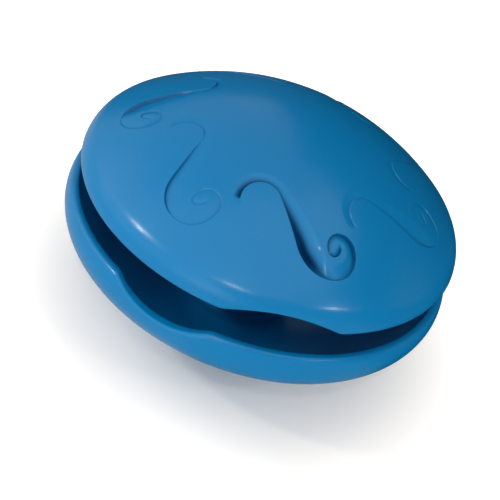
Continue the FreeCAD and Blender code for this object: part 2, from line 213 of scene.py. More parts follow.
def make_mesh(name: str, points: Array, *face_sets: Array) -> bpy.types.Object:
    """Make an object of a smooth mesh whose place is in its vertices.

    Args:
        name: the piece's name.
        points: vertices in millimetres, three to a row.
        face_sets: arrays of vertex numbers, each with one number of corners per face.

    Returns:
        The new object, at the origin.
    """
    faces = [face for block in face_sets for face in block.tolist()]
    mesh = bpy.data.meshes.new(name)
    mesh.from_pydata((points * MM).tolist(), [], faces)
    mesh.validate()
    mesh.polygons.foreach_set("use_smooth", np.ones(len(mesh.polygons), dtype=bool))
    mesh.update()
    return link_object(name, mesh)


def place(piece: bpy.types.Object, body: Body, slot: Slot, material: bpy.types.Material,
          *nodes: str) -> None:
    """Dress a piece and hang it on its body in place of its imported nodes."""
    piece.data.materials.clear()
    piece.data.materials.append(material)
    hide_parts(*nodes)
    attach(piece, body.value)
    log.info("%s: %d vertices on %s", piece.name, len(piece.data.vertices), body.value)


@dataclass(frozen=True)
class MouldedPlastic:
    """Plastic that was injection moulded in a sparked steel tool.

    The sparked tool leaves a fine grain, so light spreads softly over the surface and
    breaks into speckle, while a lamp still shows as a pale glint on a tight curve. Shade
    is painted into the colour: tight corners, found by occlusion, and the parts that the
    mesh's painted groove shade marks take the darker painted shade colour and lose their
    gloss.
    """

    name: str
    colour: str
    shade: str
    roughness: float
    ior: float = 1.5
    specular: float = 0.5
    grain: float = 0.45
    grain_height: float = 0.010
    cloud: float = 14.0
    cloud_share: float = 0.35
    handling: float = 0.06
    # Painted shade: the darker colour that tight corners and the painted groove shade take
    painted_shade_colour: str = "#04305C"
    painted_corner_shade_reach: float = 3.0
    painted_shade_full_at: float = 0.5
    painted_shade_none_at: float = 0.92
    own_colour_left_in_painted_shade: float = 0.25

    def material(self) -> bpy.types.Material:
        """Make the material: grain as bump and speckle, clouds of shade, rubbed gloss, and
        painted shade without gloss in tight corners and in the grooves.
        """
        material = bpy.data.materials.new(self.name)
        tree = bare_tree(material)
        place_on = add_node(tree, "ShaderNodeTexCoord").outputs["Object"]
        grain, cloud = (add_node(tree, "ShaderNodeTexNoise", {
            "Vector": place_on, "Scale": 1 / (size * MM), "Detail": detail, "Roughness": rough})
            for size, detail, rough in ((self.grain, 2.0, 0.55), (self.cloud, 3.0, 0.5)))
        speckle = add_node(tree, "ShaderNodeMapRange", {
            "Value": grain.outputs["Fac"], "From Min": GRAIN_SPAN[0], "From Max": GRAIN_SPAN[1],
            "To Min": -self.cloud_share / 2, "To Max": self.cloud_share / 2})
        blend = add_node(tree, "ShaderNodeMath", {
            0: cloud.outputs["Fac"], 1: self.cloud_share, 2: speckle.outputs["Result"]},
            operation="MULTIPLY_ADD", use_clamp=True)
        colour = add_node(tree, "ShaderNodeMix", {
            MIX_SHARE: blend.outputs[0], MIX_FIRST: linear(self.colour),
            MIX_SECOND: linear(self.shade)}, data_type="RGBA")
        # Painted shade in tight corners: occlusion within the reach darkens the colour
        painted_shade_occlusion = add_node(tree, "ShaderNodeAmbientOcclusion", {
            "Distance": self.painted_corner_shade_reach * MM}, samples=4, only_local=True)
        clear = add_node(tree, "ShaderNodeMapRange", {
            "Value": painted_shade_occlusion.outputs["AO"], "From Min": self.painted_shade_full_at,
            "From Max": self.painted_shade_none_at, "To Min": self.own_colour_left_in_painted_shade})
        # Painted shade in the grooves, as the mesh's point attribute marks it
        shade = add_node(tree, "ShaderNodeAttribute", attribute_name=PAINTED_GROOVE_SHADE)
        light = add_node(tree, "ShaderNodeMath", {0: 1.0, 1: shade.outputs["Fac"]},
                         operation="SUBTRACT")
        unshaded_share = add_node(tree, "ShaderNodeMath", {
            0: clear.outputs["Result"], 1: light.outputs[0]}, operation="MULTIPLY")
        colour = add_node(tree, "ShaderNodeMix", {
            MIX_SHARE: unshaded_share.outputs[0], MIX_FIRST: linear(self.painted_shade_colour),
            MIX_SECOND: colour.outputs[MIX_COLOUR]}, data_type="RGBA")
        rubbed = add_node(tree, "ShaderNodeMapRange", {
            "Value": cloud.outputs["Fac"], "From Min": CLOUD_SPAN[0], "From Max": CLOUD_SPAN[1],
            "To Min": self.roughness - self.handling, "To Max": self.roughness + self.handling})
        bump = add_node(tree, "ShaderNodeBump", {
            "Strength": 1.0, "Distance": self.grain_height * MM, "Height": grain.outputs["Fac"]})
        # The painted shade also takes the gloss away
        sheen = add_node(tree, "ShaderNodeMath", {
            0: unshaded_share.outputs[0], 1: self.specular}, operation="MULTIPLY")
        shader = add_node(tree, "ShaderNodeBsdfPrincipled", {
            "Base Color": colour.outputs[MIX_COLOUR], "Roughness": rubbed.outputs["Result"],
            "IOR": self.ior, "Specular IOR Level": sheen.outputs[0],
            "Normal": bump.outputs["Normal"]})
        add_node(tree, "ShaderNodeOutputMaterial", {"Surface": shader.outputs["BSDF"]})
        return material


# Satin blue shell: its grain is drawn a little coarser than the tool's, so that it shows
SHELL_PLASTIC = MouldedPlastic("satin_moulded_shell_plastic", "#027EBA", "#0276B1", 0.23,
                               specular=0.45, handling=0.02)

# Nylon screw: a closer, slicker grain that a thread wears smooth
SCREW_NYLON = MouldedPlastic("moulded_screw_nylon", "#116CA8", "#0D629B", 0.3, ior=1.53,
                             grain=0.3, grain_height=0.005)

# Soft dark rubber of the grip ring: dull, so it hardly glints
GRIP_RUBBER = MouldedPlastic("moulded_grip_rubber", "#15305A", "#112747", 0.62, ior=1.52,
                             specular=0.35, grain=0.35, grain_height=0.012)


@dataclass(frozen=True)
class Arch:
    """A round scallop in a rim, whose ends flow into the rim through rounded corners."""

    width: float
    height: float
    corner: float
    count: int
    turn: float
    rounds: int = 4

    def depth(self, across: Array) -> Array:
        """How far the arch cuts into the rim at a distance from its middle.

        Within the arch it is the height, less the radius, plus the root of the radius
        squared less the distance squared. The corner is a circle that touches both the
        arch and the rim.

        Args:
            across: distances from the arch's middle, square to its direction.

        Returns:
            The depths, 0 beyond the corners.
        """
        bow = ((self.width / 2) ** 2 + self.height ** 2) / (2 * self.height)
        reach = math.sqrt((bow + self.corner) ** 2 - (bow - self.height + self.corner) ** 2)
        meet = bow * reach / (bow + self.corner)
        across = np.abs(across)
        arch = self.height - bow + np.sqrt(np.maximum(bow ** 2 - across ** 2, 0.0))
        short = np.clip(reach - across, 0.0, self.corner)
        corner = self.corner - np.sqrt(self.corner ** 2 - short ** 2)
        return np.where(across < meet, arch, np.where(across < reach, corner, 0.0))

    def along_rim(self, angle: Array, wall_radius: Callable[[Array], Array]) -> Array:
        """How far the rim is cut at each direction about the axis.

        The cut runs straight outwards, so its distance from the middle is the wall's
        radius times the sine of the angle from the nearest arch. The wall's radius
        depends on the depth itself, so it is found in a few rounds.

        Args:
            angle: directions about the axis in radians.
            wall_radius: gives the wall's radius for an array of depths.

        Returns:
            The depths.
        """
        pitch = 2 * math.pi / self.count
        aside = (angle - math.radians(self.turn) + pitch / 2) % pitch - pitch / 2
        depth = np.zeros_like(angle)
        for _ in range(self.rounds):
            depth = self.depth(wall_radius(depth) * np.sin(aside))
        return depth


def bent(start: Section, corner: Section, stop: Section) -> Section:
    """Round a corner of a section at every column by a parabola.

    Each point is the start times (1 - t) squared, plus the corner times 2 t (1 - t),
    plus the stop times t squared, so the curve leaves and arrives along both walls.

    Args:
        start: distance and height where the rounding leaves the first wall.
        corner: distance and height of the sharp corner.
        stop: distance and height where it meets the second wall.

    Returns:
        Distances and heights, one row per point.
    """
    t = np.linspace(0.0, 1.0, BEND_POINTS)[:, None]
    weights = (1 - t) ** 2, 2 * t * (1 - t), t ** 2
    return tuple(sum(weight * value for weight, value in zip(weights, values))
                 for values in zip(start, corner, stop))


def rim_blocks(first: tuple[Section, Section], last: tuple[Section, Section],
               radius: float) -> list[Section]:
    """The rim of a wall: up its first side, over both rounded corners, down its last side.

    Args:
        first: the side that runs to the rim, and its sharp corner at each column.
        last: the side that runs from the rim, and its sharp corner.
        radius: how far the rounding reaches along the rim's face.

    Returns:
        Blocks of distances and heights, one row per point.
    """
    (up, first_corner), (down, last_corner) = first, last
    run = [far - near for near, far in zip(first_corner, last_corner)]
    share = radius / np.hypot(*run)
    near = [value + way * share for value, way in zip(first_corner, run)]
    far = [value - way * share for value, way in zip(last_corner, run)]
    return [tuple(part[1:-1] for part in up),
            bent([part[-1] for part in up], first_corner, near),
            bent(far, last_corner, [part[0] for part in down]),
            tuple(part[1:-1] for part in down)]


def stack_profile(blocks: list[Section], columns: int) -> Section:
    """Join the blocks of a section into one grid of distances and heights.

    Args:
        blocks: distances and heights, each one value per row or one per row and column.
        columns: how many columns the grid has.

    Returns:
        Two arrays of one row per point of the section, with no row twice.
    """
    def spread(part: Array) -> Array:
        """Repeat a plain list of rows over all columns."""
        part = np.asarray(part, dtype=float)
        return part if part.ndim == 2 else np.repeat(part[:, None], columns, axis=1)

    distance, height = (np.vstack([spread(block[k]) for block in blocks]) for k in (0, 1))
    moved = np.hypot(np.diff(distance, axis=0), np.diff(height, axis=0)).max(axis=1)
    kept = np.concatenate([[True], moved > ROW_GAP])
    return distance[kept], height[kept]


def turned(distance: Array, height: Array, angle: Array) -> Array:
    """Carry a section about the axis: distance times cosine and sine of the angle, height."""
    points = [distance * np.cos(angle), distance * np.sin(angle), height]
    return np.stack(points, axis=-1).reshape(-1, 3)


class Cut(NamedTuple):
    """The groove at a place on its steep edge, which is counted in pieces of the edge."""

    at: float
    width: float
    wall: float
    depth: float


@dataclass(frozen=True)
class Scroll:
    """One sunken scroll in the plan of the dome: hook, long stroke, bend and closing eye.

    Its steep edge is a path of arcs. The groove lies to the left of that edge, falls
    off it in a short wall and rises gently to its other side.

    Attributes:
        inset, shift, lean: where the bend begins, in from the rim and aside, and its lean.
        tip_past, tip_below: how far the tip reaches past the hook and below it.
        turns: radii of the quarter turns from the bend to the eye, as shares of bend.
        ease: how many steps the smoothing between two cuts spans.
        rise: power by which the far side rises.
        wall_places, slope_places: where points lie across the wall and the far side.
        painted_shade_depth, painted_shade_past_wall: depth of full painted shade, and its reach
        past the wall.
        guard: the strip's border outside the groove.
        trace, turn_in: the path's own step, and the length over which its curvature
            passes from one piece's to the next one's.
    """

    inset: float = 12.8
    shift: float = 9.0
    lean: float = 10.2
    bend: float = 7.4
    run: float = 10.3
    hook: float = 4.2
    tip_past: float = 2.60
    tip_below: float = 3.61
    turns: tuple = (1.0, 0.65, 0.445, 0.385, 0.175, 0.27)
    cuts: tuple = (
        Cut(0.0, 1.4, 0.2, 0.75),
        Cut(1.0, 2.2, 0.2, 0.75),
        Cut(2.0, 2.2, 0.2, 0.27),
        Cut(2.5, 3.6, 0.975, 1.19),
        Cut(3.0, 5.0, 1.95, 1.7),
        Cut(3.4, 5.0, 1.95, 1.7),
        Cut(3.75, 2.8, 0.39, 0.25),
        Cut(4.0, 2.8, 0.2, 0.25),
        Cut(5.0, 2.0, 0.2, 0.7),
        Cut(6.0, 1.5, 0.2, 0.36),
        Cut(7.0, 1.125, 0.2, 0.36),
        Cut(8.0, 1.05, 0.2, 0.36),
        Cut(9.0, 0.8, 0.2, 0.36),
    )
    ease: int = 19
    tip_fade: float = 1.0
    end_fade: float = 0.8
    fine_wall: float = 0.2
    rise: float = 1.25
    wall_places: tuple = (0.0, 0.08, 0.35, 0.65, 0.9, 1.0)
    slope_places: tuple = (0.03, 0.12, 0.25, 0.42, 0.6, 0.8, 1.0)
    # Painted shade in the grooves: full from this depth, fading over this reach past the wall
    painted_shade_depth: float = 1.75
    painted_shade_past_wall: float = 1.15
    guard: float = 0.10
    step: float = 0.28
    trace: float = 0.01
    turn_in: float = 0.5

    def pieces(self) -> list[tuple[float, float]]:
        """Length and curvature of each piece of the steep edge, from the tip to the eye."""
        tip_radius = (self.tip_past ** 2 + self.tip_below ** 2) / (2 * self.tip_past)
        tip_turn = math.asin(self.tip_below / tip_radius)
        quarter = math.pi / 2
        parts = [(tip_radius * tip_turn, -1 / tip_radius), (self.hook * quarter, -1 / self.hook),
                 (self.run, 0.0)]
        return parts + [(turn * self.bend * quarter, 1 / (turn * self.bend)) for turn in self.turns]

    def edge(self) -> tuple[Array, Array, Array, Array]:
        """The steep edge, worked out from its curvature.

        The heading is the running sum of curvature times step, and the place is the
        running sum of the heading's direction times step. Both are then turned and
        moved so that the bend begins at the origin, heading along the first axis.

        Returns:
            Distance along the edge, its two coordinates and its heading.
        """
        parts = self.pieces()
        ends = np.cumsum([length for length, _ in parts])
        along = np.arange(0.0, ends[-1], self.trace) + self.trace / 2
        part = np.searchsorted(ends, along)
        curvature = np.array([bow for _, bow in parts])[np.minimum(part, len(parts) - 1)]
        blur = np.ones(round(self.turn_in / self.trace)) * self.trace / self.turn_in
        pad = len(blur) // 2
        curvature = np.convolve(np.pad(curvature, pad, mode="edge"), blur, mode="same")[pad:-pad]
        heading = np.cumsum(curvature) * self.trace
        start = np.searchsorted(along, ends[2])
        heading -= heading[start]
        across = np.cumsum(np.cos(heading)) * self.trace
        up = np.cumsum(np.sin(heading)) * self.trace
        count = round(ends[-1] / self.step)
        picked = np.linspace(0, len(along) - 1, count).astype(int)
        return (along[picked], across[picked] - across[start], up[picked] - up[start],
                heading[picked])

    def sizes(self, along: Array) -> tuple[Array, Array, Array]:
        """Width, wall and depth of the groove, eased between the cuts.

        Args:
            along: distances along the edge.

        Returns:
            Widths of the groove, widths of its wall, and depths.
        """
        ends = np.cumsum([0.0] + [length for length, _ in self.pieces()])
        at, *columns = zip(*self.cuts)
        stations = np.interp(at, np.arange(len(ends)), ends)
        blur = np.hanning(self.ease) / np.hanning(self.ease).sum()
        plain = [np.interp(along, stations, column) for column in columns]
        width, wall, depth = (
            np.convolve(np.pad(values, self.ease // 2, mode="edge"), blur, mode="valid")
            for values in plain)
        fade = smooth_ramp(along / self.tip_fade) * smooth_ramp((along[-1] - along) / self.end_fade)
        return width, wall, depth * fade

    def strip(self, radius: float, share: float) -> tuple[Array, Array, Array]:
        """The groove as a strip: stations along the edge by places across it.

        Across, the wall falls evenly from a crisp edge to the full depth. The far side
        rises from the wall's foot by a power of the share of it that is left. The wall
        narrows with the cube of the groove's share, so a shallow groove has a steep wall.

        The painted shade grows with the groove's depth to full at the dark depth. It covers the
        wall, dies away past the wall's foot, and is multiplied by the square of the share.

        Args:
            radius: the dome's rim radius, from which the inset is counted.
            share: how deep this groove is cut, as a share of the full depth.

        Returns:
            Plan coordinates, depths and painted shades, by station and by place across.
        """
        along, across, up, heading = self.edge()
        width, wall, depth = (values[:, None] for values in self.sizes(along))
        depth = share * depth
        wall = self.fine_wall + (wall - self.fine_wall) * share ** 3
        offset = np.hstack([
            np.full_like(width, -self.guard), np.array(self.wall_places) * wall,
            wall + np.array(self.slope_places) * (width - wall), width + self.guard])
        left = np.clip((width - offset) / (width - wall), 0.0, 1.0)
        sunk = np.where(offset < wall, np.maximum(offset / wall, 0.0), left ** self.rise)
        # Painted shade: darker with the groove's depth, over the wall and just past its foot
        shade = np.clip(depth / self.painted_shade_depth, 0.0, 1.0) * share ** 2 * (offset >= 0.0)
        shade = shade * smooth_ramp(1 - (offset - wall) / self.painted_shade_past_wall)
        side = heading[:, None] + math.pi / 2
        u = across[:, None] + offset * np.cos(side)
        v = up[:, None] + offset * np.sin(side)
        turn = math.radians(self.lean)
        x = radius - self.inset + u * math.cos(turn) - v * math.sin(turn)
        y = -self.shift + u * math.sin(turn) + v * math.cos(turn)
        return np.stack([x, y], axis=-1), depth * sunk, shade


@dataclass
class UpperHalf:
    """The upper dome with its scalloped rim, seven scrolls and the bush's socket.

    Attributes:
        support: distance from the socket's end to a row that keeps its wall straight.
        scroll_shares: how deep each scroll is cut, as a share of the full depth.
        join: radius where the lathed wall meets the crown's triangles.
        join_gap, scroll_gap: how many spacings the lattice keeps from the join and from
            the scrolls.
    """

    radius: float = 44.5
    rise: float = 20.0
    shoulder: float = 6.9
    wall: float = 2.5
    rim_round: float = 1.0
    socket_radius: float = 17.15
    bush_radius: float = 12.55
    flange_radius: float = 14.55
    flange_height: float = 2.0
    socket_round: float = 1.5
    mouth_round: float = 0.35
    scroll_turn: float = -60.0
    scroll_shares: tuple = (1.0, 0.28, 0.22, 0.22, 0.3, 0.55, 0.3)
    join: float = 39.4
    columns: int = 630
    spacing: float = 1.05
    join_gap: float = 0.6
    scroll_gap: float = 0.55
    support: float = 2.0
    join_rows: int = 6
    shoulder_rows: int = 18
    crown_rows: int = 16
    nest_rows: int = 7
    arch: Arch = Arch(24.2, 2.7, 2.0, 3, -75.6)
    scroll: Scroll = Scroll()

    def __post_init__(self) -> None:
        """Read the levels from the frame and work out the crown's radius."""
        low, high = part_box("upper_shell")
        self.rim: float = high.z / MM - self.rise
        self.mouth: float = low.z / MM
        self.seat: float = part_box("thread_bush")[1].z / MM
        self.crown: float = (
            ((self.radius - self.shoulder) ** 2 + self.rise ** 2 - self.shoulder ** 2)
            / (2 * (self.rise - self.shoulder)))
        self.centre: float = high.z / MM - self.crown

    def section(self, angle: Array) -> Section:
        """The wall's section at every column, from the crown out, round and in to the axis.

        Args:
            angle: directions of the columns in radians.

        Returns:
            Distances from the axis and heights, by row and column.
        """
        shoulder_x = self.radius - self.shoulder
        inner_crown, inner_shoulder = self.crown - self.wall, self.shoulder - self.wall
        lean = math.asin(shoulder_x / (self.crown - self.shoulder))

        def wall_side(bow: float, share: Array) -> tuple[Section, Section]:
            """A shoulder from its lean to the rim's rounding, and its sharp corner."""
            def radius(height: Array) -> Array:
                """The wall's radius at a height above the rim."""
                return shoulder_x + np.sqrt(bow ** 2 - height ** 2)

            cut = self.arch.along_rim(angle, radius)
            stop = np.arccos(cut / bow) - self.rim_round / bow
            turn = lean + share[:, None] * (stop - lean)
            rows = shoulder_x + bow * np.sin(turn), self.rim + bow * np.cos(turn)
            return rows, (radius(cut), self.rim + cut)

        share = np.linspace(0.0, 1.0, self.shoulder_rows)
        edge = rim_blocks(wall_side(self.shoulder, share),
                          wall_side(inner_shoulder, share[::-1]), self.rim_round)
        crown_start = math.asin(self.join / self.crown)
        nest = self.socket_radius + self.socket_round
        nest_turn = math.asin(nest / (inner_crown - self.socket_round))
        nest_level = self.centre + (inner_crown - self.socket_round) * math.cos(nest_turn)
        blocks = [
            arc_points((0, self.centre), self.crown, crown_start, lean, self.join_rows), *edge,
            arc_points((0, self.centre), inner_crown, lean, nest_turn, self.crown_rows),
            arc_points((nest, nest_level), self.socket_round, nest_turn, -math.pi / 2,
                       self.nest_rows),
            ([self.socket_radius, self.socket_radius, self.socket_radius - self.mouth_round,
              self.bush_radius, self.bush_radius, self.flange_radius, self.flange_radius,
              self.flange_radius / 2],
             [self.mouth + self.support, self.mouth + self.mouth_round, self.mouth, self.mouth,
              self.seat - self.flange_height, self.seat - self.flange_height, self.seat,
              self.seat]),
        ]
        return stack_profile(blocks, len(angle))

    def lifted(self, plan: Array, depth: Array) -> Array:
        """Raise points of the plan to the crown, sunk by a depth along its normal.

        Args:
            plan: the two plan coordinates of each point.
            depth: how far each point lies below the crown.

        Returns:
            Three coordinates for each point.
        """
        level = np.sqrt(self.crown ** 2 - (plan ** 2).sum(axis=-1))
        ball = np.concatenate([plan, level[..., None]], axis=-1)
        ball = ball * ((self.crown - depth) / self.crown)[..., None]
        return ball + np.array([0.0, 0.0, self.centre])

    def scroll_strips(self) -> tuple[Array, Array, Array]:
        """All scrolls in plan, turned evenly about the axis, with depths and painted shades."""
        strips = [self.scroll.strip(self.radius, share) for share in self.scroll_shares]
        plans, depths, shades = (np.stack(parts) for parts in zip(*strips))
        turn = math.radians(self.scroll_turn) + 2 * math.pi * np.arange(len(strips)) / len(strips)
        spin = np.stack([np.stack([np.cos(turn), -np.sin(turn)], -1),
                         np.stack([np.sin(turn), np.cos(turn)], -1)], -2)
        return np.einsum("kij,kstj->ksti", spin, plans), depths, shades

    def field_points(self, strips: Array) -> Array:
        """Evenly spread points of the crown that keep clear of the scrolls and the join.

        They are the points of a triangular lattice, whose rows lie the root of 3/4 of a
        spacing apart, less those too near to the join or to a scroll. Every second
        station and third place of a scroll is enough to tell how near it is.

        Args:
            strips: plan coordinates of the scrolls.

        Returns:
            The points that are left.
        """
        half = int(self.join / self.spacing) + 1
        row, column = np.meshgrid(np.arange(-half, half + 1), np.arange(-half, half + 1))
        x = (column + 0.5 * (row % 2)) * self.spacing
        y = row * self.spacing * math.sqrt(0.75)
        points = np.stack([x.ravel(), y.ravel()], axis=-1)
        points = points[np.hypot(*points.T) < self.join - self.join_gap * self.spacing]
        marks = strips[:, ::2, ::3].reshape(-1, 2)
        apart = sum(np.subtract.outer(points[:, k], marks[:, k]) ** 2 for k in (0, 1))
        return points[apart.min(axis=1) > (self.scroll_gap * self.spacing) ** 2]

    def crown_faces(self, rim: Array, strips: Array, numbers: Array, lattice: Array) -> Array:
        """Triangulate the crown between its join, the scrolls and the lattice points.

        Args:
            rim: plan of the join, whose points are the first of the mesh.
            strips: plan of the scrolls.
            numbers: vertex numbers of the scrolls' points.
            lattice: plan of the lattice points, which follow the scrolls' in the mesh.

        Returns:
            Vertex numbers, three to a row.
        """
        first, loose = numbers.min(), numbers.max() + 1 + np.arange(len(lattice))
        outline = np.hstack([numbers[:, :, 0], numbers[:, -1, 1:-1], numbers[:, ::-1, -1],
                             numbers[:, 0, -2:0:-1]])
        used = np.concatenate([np.arange(len(rim)), outline.ravel(), loose])
        loops = len(rim) + np.arange(outline.size).reshape(outline.shape)
        plan = np.vstack([rim, strips.reshape(-1, 2)[outline.ravel() - first], lattice])
        _, _, triangles, origins, _, inside = delaunay_2d_cdt(
            [Vector(point) for point in plan.tolist()], [],
            [list(range(len(rim)))] + loops.tolist(), CDT_INSIDE, CDT_MERGE)
        source = np.array([group[0] for group in origins])
        open_field = np.array([len(group) == 1 for group in inside])
        return used[source[np.array(triangles)[open_field]]]

    def build(self) -> bpy.types.Object:
        """Make the upper shell as one closed mesh.

        The crown inside the join is a triangulation of lattice points between the
        scroll strips, and the rest is a grid carried about the axis.
        """
        angle = np.arange(self.columns) * (2 * math.pi / self.columns)
        distance, height = self.section(angle)
        rows = len(distance)
        grid = turned(distance, height, angle)
        pole = len(grid)
        strips, depths, shades = self.scroll_strips()
        first = pole + 1
        numbers = first + np.arange(depths.size).reshape(depths.shape)
        lattice = self.field_points(strips)
        points = np.vstack([
            grid, [[0.0, 0.0, self.seat]], self.lifted(strips, depths).reshape(-1, 3),
            self.lifted(lattice, np.zeros(len(lattice)))])
        crown = self.crown_faces(grid[:self.columns, :2], strips, numbers, lattice)
        strip_quads = np.stack([numbers[:, :-1, :-1], numbers[:, 1:, :-1], numbers[:, 1:, 1:],
                                numbers[:, :-1, 1:]], axis=-1).reshape(-1, 4)
        log.info("crown: %d triangles, %d strips of %d by %d", len(crown), *depths.shape)
        last = (rows - 1) * self.columns + np.arange(self.columns)
        piece = make_mesh("upper_shell_surface", points, lathe_faces(rows, self.columns),
                          fan_faces(last, pole, False), crown, strip_quads)
        # The scrolls' painted shade goes on the mesh as a point attribute
        shade = np.zeros(len(points), dtype=np.float32)
        shade[first:first + shades.size] = shades.ravel()
        piece.data.attributes.new(PAINTED_GROOVE_SHADE, "FLOAT", "POINT").data.foreach_set("value", shade)
        return piece


@dataclass
class LowerHalf:
    """The lower bowl with its scalloped rim, its flat foot and the stem's socket.

    Attributes:
        lip: height of the rim over the belt, where the bowl is widest.
        past_belt, inner_past_belt: angles past the belt, in radians, where the lip's
            rows and the inner shoulder's rows end.
        foot_edge: how far inside its circle the flat foot's first row lies.
        support: distance from the socket's end to a row that keeps its wall straight.
    """

    radius: float = 45.9
    shoulder: float = 7.6
    drop: float = 23.9
    lip: float = 3.6
    foot_radius: float = 15.0
    wall: float = 2.5
    lip_wall: float = 1.8
    rim_round: float = 0.8
    stem_radius: float = 7.6
    flange_radius: float = 9.6
    flange_height: float = 2.0
    socket_radius: float = 12.2
    socket_round: float = 1.5
    post_height: float = 10.3
    post_round: float = 0.35
    columns: int = 630
    past_belt: float = 0.02
    inner_past_belt: float = 0.05
    foot_edge: float = 0.4
    support: float = 2.0
    nest_rows: int = 7
    inner_rows: int = 16
    inner_shoulder_rows: int = 8
    lip_rows: int = 9
    shoulder_rows: int = 14
    crown_rows: int = 22
    arch: Arch = Arch(22.0, 2.8, 2.0, 3, -106.2)

    def __post_init__(self) -> None:
        """Read the rim's level from the frame and work out the crown and the belt."""
        self.rim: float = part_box("lower_shell")[1].z / MM
        self.belt: float = self.rim - self.lip
        self.crown: float = (
            ((self.radius - self.shoulder) ** 2 + self.drop ** 2 - self.shoulder ** 2)
            / (2 * (self.drop - self.shoulder)))
        self.centre: float = math.sqrt(self.crown ** 2 - self.foot_radius ** 2)

    def section(self, angle: Array) -> Section:
        """The wall's section at every column, from the inner floor out over the rim to the foot.

        Args:
            angle: directions of the columns in radians.

        Returns:
            Distances from the axis and heights, by row and column.
        """
        shoulder_x = self.radius - self.shoulder
        inner_crown, inner_shoulder = self.crown - self.wall, self.shoulder - self.wall
        lean = math.pi - math.asin(shoulder_x / (self.crown - self.shoulder))
        post = self.wall + self.post_height
        belt_turn = math.pi / 2 + self.past_belt
        middle, side = (0, self.centre), (shoulder_x, self.belt)

        def thickness(height: Array) -> Array:
            """The lip's wall at a height above the belt: it thins evenly towards the rim."""
            return self.wall + (self.lip_wall - self.wall) * np.clip(height / self.lip, 0.0, 1.0)

        def lip_side(inwards: float, share: Array) -> tuple[Section, Section]:
            """The lip from the rim's rounding to the belt, a share of the wall inwards."""
            def radius(depth: Array) -> Array:
                """The lip's radius at a depth below the rim."""
                return (shoulder_x - inwards * thickness(self.lip - depth)
                        + np.sqrt(self.shoulder ** 2 - (self.lip - depth) ** 2))

            cut = self.arch.along_rim(angle, radius)
            top = np.arccos((self.lip - cut) / self.shoulder) + self.rim_round / self.shoulder
            turn = top + share[:, None] * (belt_turn - top)
            height = self.shoulder * np.cos(turn)
            rows = (shoulder_x - inwards * thickness(height) + self.shoulder * np.sin(turn),
                    self.belt + height)
            return rows, (radius(cut), self.rim - cut)

        share = np.linspace(0.0, 1.0, self.lip_rows)
        edge = rim_blocks(lip_side(1.0, share[::-1]), lip_side(0.0, share), self.rim_round)
        nest = self.socket_radius + self.socket_round
        nest_turn = math.pi - math.asin(nest / (inner_crown - self.socket_round))
        nest_level = self.centre + (inner_crown - self.socket_round) * math.cos(nest_turn)
        foot_turn = math.pi - math.asin(self.foot_radius / self.crown)
        flange_top = self.wall + self.flange_height
        blocks = [
            ([self.flange_radius / 2, self.flange_radius, self.flange_radius, self.stem_radius,
              self.stem_radius, self.socket_radius - self.post_round, self.socket_radius,
              self.socket_radius],
             [self.wall, self.wall, flange_top, flange_top, post, post, post - self.post_round,
              post - self.support]),
            arc_points((nest, nest_level), self.socket_round, -math.pi / 2,
                       nest_turn - 2 * math.pi, self.nest_rows),
            arc_points(middle, inner_crown, nest_turn, lean, self.inner_rows),
            arc_points(side, inner_shoulder, lean, math.pi / 2 + self.inner_past_belt,
                       self.inner_shoulder_rows),
            *edge,
            arc_points(side, self.shoulder, belt_turn, lean, self.shoulder_rows),
            arc_points(middle, self.crown, lean, foot_turn, self.crown_rows),
            ([self.foot_radius - self.foot_edge, self.foot_radius / 2], [0.0, 0.0]),
        ]
        return stack_profile(blocks, len(angle))

    def build(self) -> bpy.types.Object:
        """Make the lower shell as one closed mesh carried about the axis."""
        angle = np.arange(self.columns) * (2 * math.pi / self.columns)
        distance, height = self.section(angle)
        rows = len(distance)
        grid = turned(distance, height, angle)
        points = np.vstack([grid, [[0.0, 0.0, self.wall], [0.0, 0.0, 0.0]]])
        around = np.arange(self.columns)
        return make_mesh("lower_shell_surface", points, lathe_faces(rows, self.columns),
                         fan_faces(around, len(grid), True),
                         fan_faces((rows - 1) * self.columns + around, len(grid) + 1, False))


@dataclass
class Screw:
    """The stem, the bush and the grip ring, which keep their packed form.

    Corners within the merge distance are joined, and an edge stays sharp from the crease
    angle up.
    """

    merge: float = 0.002
    crease: float = 32.0

    def smoothed(self, node: str) -> bpy.types.Object:
        """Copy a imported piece, join its loose triangles and shade its flanks smooth.

        Args:
            node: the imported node.

        Returns:
            The copy, at the origin.
        """
        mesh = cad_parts[node].data.copy()
        mesh.name = f"{node}_surface"
        work = bmesh.new()
        work.from_mesh(mesh)
        bmesh.ops.remove_doubles(work, verts=work.verts, dist=self.merge * MM)
        sharp = math.radians(self.crease)
        for edge in work.edges:
            edge.smooth = edge.calc_face_angle(0.0) < sharp
        for face in work.faces:
            face.smooth = True
        work.to_mesh(mesh)
        work.free()
        return link_object(f"{node}_surface", mesh)

    def dress(self, nylon: bpy.types.Material, rubber: bpy.types.Material) -> None:
        """Put the stem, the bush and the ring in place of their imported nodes."""
        for node, body, slot, material in (
                ("thread_stem", Body.LOWER, Slot.SCREW, nylon),
                ("thread_bush", Body.UPPER, Slot.SCREW, nylon),
                ("grip_ring", Body.LIFT, Slot.GRIP, rubber)):
            place(self.smoothed(node), body, slot, material, node)


